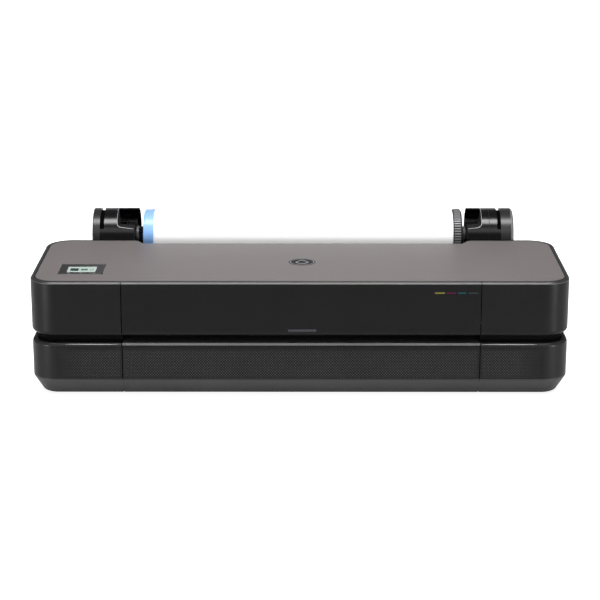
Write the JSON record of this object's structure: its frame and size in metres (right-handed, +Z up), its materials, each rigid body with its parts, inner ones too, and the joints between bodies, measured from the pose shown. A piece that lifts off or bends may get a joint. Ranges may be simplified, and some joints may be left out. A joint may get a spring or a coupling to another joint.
{
  "type": "large format plotter",
  "caption": "Desktop roll-fed large format plotter with a hinged top cover, front control panel, rear roll holder, sliding print carriage and cutter.",
  "frame": {"origin": "on the floor, under the centre of the bounding box", "axes": "+X to the machine's right as seen from the front, +Y to the back, +Z up; the front faces -Y"},
  "size_m": [1.013, 0.44, 0.281],
  "materials": {
    "black_shell": "satin moulded",
    "textured_panel": "fine dot texture",
    "tray_plastic": "matt",
    "lip_plastic": "satin",
    "deck_plastic": "fine spark texture",
    "rim_plastic": "satin",
    "skirt_plastic": "satin moulded",
    "bezel_plastic": "gloss",
    "display": "backlit, clear",
    "emblem_plastic": "gloss",
    "ink_marks": "printed",
    "status_lens": "translucent",
    "bracket_plastic": "satin moulded",
    "flange_blue_plastic": "satin",
    "flange_grey_plastic": "satin, ribbed rim",
    "paper": "matt coated",
    "card": "matt",
    "steel": "turned",
    "sheet_steel": "zinc plated",
    "brass": "turned",
    "rubber": "matt",
    "belt_rubber": "matt",
    "gear_plastic": "natural",
    "motor_steel": "satin",
    "inner_plastic": "matt",
    "carriage_plastic": "matt",
    "head_plastic": "satin",
    "latch_plastic": "satin",
    "ink_yellow": "satin",
    "ink_magenta": "satin",
    "ink_cyan": "satin",
    "ink_black": "satin",
    "board": "solder mask",
    "cover_plastic": "smoked"
  },
  "bodies": {
    "housing": {"base_tray": "tray_plastic", "feet": "rubber", "stand_inserts": "brass", "lower_left_cover": "textured_panel", "lower_right_cover": "textured_panel", "lower_front_panel": "textured_panel", "output_lip": "lip_plastic", "rear_cover": "black_shell", "socket_panel": "inner_plastic", "upper_left_cover": "black_shell", "upper_right_cover": "black_shell", "rim_left": "rim_plastic", "rim_right": "rim_plastic", "lid_hinges": "sheet_steel", "side_frame_left": "sheet_steel", "side_frame_right": "sheet_steel", "carriage_beam": "sheet_steel", "guide_rod": "steel", "platen": "inner_plastic", "feed_motor": "motor_steel", "carriage_motor": "motor_steel", "drive_belt": "belt_rubber", "cartridge_bay": "inner_plastic", "service_station": "inner_plastic", "power_supply": "sheet_steel", "main_board": "board", "bracket_left": "bracket_plastic", "bracket_right": "bracket_plastic"},
    "lid": {"deck_panel": "deck_plastic", "front_skirt": "skirt_plastic", "rim_centre": "rim_plastic", "control_bezel": "bezel_plastic", "display_glass": "display", "emblem": "emblem_plastic", "colour_bars": "ink_marks", "status_light": "status_lens"},
    "dust_cover": {"roll_cover": "cover_plastic"},
    "roll_carrier": {"roll_bushes": "gear_plastic"},
    "roll": {"roll_shaft": "steel", "flange_blue": "flange_blue_plastic", "flange_ribbed": "flange_grey_plastic", "roll_core": "card", "paper_roll": "paper"},
    "feed": {"feed_roller": "rubber", "feed_gear": "gear_plastic"},
    "pinion": {"feed_pinion": "brass"},
    "pinch": {"pinch_rollers": "rubber"},
    "exit": {"exit_roller": "rubber"},
    "print_carriage": {"carriage": "carriage_plastic", "printhead": "head_plastic"},
    "latch": {"printhead_latch": "latch_plastic"},
    "drive_pulley": {"motor_pulley": "steel"},
    "idler": {"idler_pulley": "gear_plastic"},
    "cutter": {"cutter_carriage": "inner_plastic"},
    "blade": {"cutter_blade": "steel"},
    "cap": {"cap_sled": "gear_plastic"},
    "ink_yellow": {"cartridge_yellow": "ink_yellow"},
    "ink_magenta": {"cartridge_magenta": "ink_magenta"},
    "ink_cyan": {"cartridge_cyan": "ink_cyan"},
    "ink_black": {"cartridge_black": "ink_black"}
  },
  "joints": [
    {"name": "lid_hinge", "type": "hinge", "parent": "housing", "child": "lid", "pos_m": [0, 0.09, 0.2225], "axis": [-1, 0, 0], "range_deg": [0, 65]},
    {"name": "dust_cover_hinge", "type": "hinge", "parent": "housing", "child": "dust_cover", "pos_m": [0, 0.163, 0.226], "axis": [-1, 0, 0], "range_deg": [-146, 0]},
    {"name": "spindle_lift", "type": "slide", "parent": "housing", "child": "roll_carrier", "axis": [0, 0, 1], "range_m": [0, 0.09]},
    {"name": "roll_spin", "type": "hinge", "parent": "roll_carrier", "child": "roll", "pos_m": [0, 0.163, 0.226], "axis": [1, 0, 0], "continuous": true},
    {"name": "carriage_slide", "type": "slide", "parent": "housing", "child": "print_carriage", "axis": [-1, 0, 0], "range_m": [0, 0.74]},
    {"name": "latch_hinge", "type": "hinge", "parent": "print_carriage", "child": "latch", "pos_m": [0.388, -0.02, 0.184], "axis": [-1, 0, 0], "range_deg": [0, 60]},
    {"name": "drive_pulley_spin", "type": "hinge", "parent": "housing", "child": "drive_pulley", "pos_m": [0.425, 0.031, 0.195], "axis": [0, 1, 0], "continuous": true},
    {"name": "idler_spin", "type": "hinge", "parent": "housing", "child": "idler", "pos_m": [-0.425, 0.031, 0.195], "axis": [0, 1, 0], "continuous": true},
    {"name": "feed_spin", "type": "hinge", "parent": "housing", "child": "feed", "pos_m": [0, 0.01, 0.105], "axis": [1, 0, 0], "continuous": true},
    {"name": "pinion_spin", "type": "hinge", "parent": "housing", "child": "pinion", "pos_m": [-0.46, 0.01, 0.067], "axis": [1, 0, 0], "continuous": true},
    {"name": "pinch_spin", "type": "hinge", "parent": "housing", "child": "pinch", "pos_m": [0, 0.01, 0.12035], "axis": [1, 0, 0], "continuous": true},
    {"name": "exit_spin", "type": "hinge", "parent": "housing", "child": "exit", "pos_m": [0, -0.125, 0.1075], "axis": [1, 0, 0], "continuous": true},
    {"name": "cutter_slide", "type": "slide", "parent": "housing", "child": "cutter", "axis": [1, 0, 0], "range_m": [0, 0.72]},
    {"name": "blade_spin", "type": "hinge", "parent": "cutter", "child": "blade", "pos_m": [-0.372, -0.113, 0.104], "axis": [0, 1, 0], "continuous": true},
    {"name": "cap_lift", "type": "slide", "parent": "housing", "child": "cap", "axis": [0, 0, 1], "range_m": [0, 0.004]},
    {"name": "ink_yellow_lift", "type": "slide", "parent": "housing", "child": "ink_yellow", "axis": [0, 0, 1], "range_m": [0, 0.02]},
    {"name": "ink_magenta_lift", "type": "slide", "parent": "housing", "child": "ink_magenta", "axis": [0, 0, 1], "range_m": [0, 0.02]},
    {"name": "ink_cyan_lift", "type": "slide", "parent": "housing", "child": "ink_cyan", "axis": [0, 0, 1], "range_m": [0, 0.02]},
    {"name": "ink_black_lift", "type": "slide", "parent": "housing", "child": "ink_black", "axis": [0, 0, 1], "range_m": [0, 0.02]}
  ],
  "couplings": [
    {"joint": "drive_pulley_spin", "follows": "carriage_slide", "rad_per_m": 111.73},
    {"joint": "idler_spin", "follows": "carriage_slide", "rad_per_m": 111.73},
    {"joint": "pinion_spin", "follows": "feed_spin", "ratio": -4},
    {"joint": "pinch_spin", "follows": "feed_spin", "ratio": -2},
    {"joint": "exit_spin", "follows": "feed_spin", "ratio": 1.4286},
    {"joint": "blade_spin", "follows": "cutter_slide", "rad_per_m": 76.923}
  ]
}
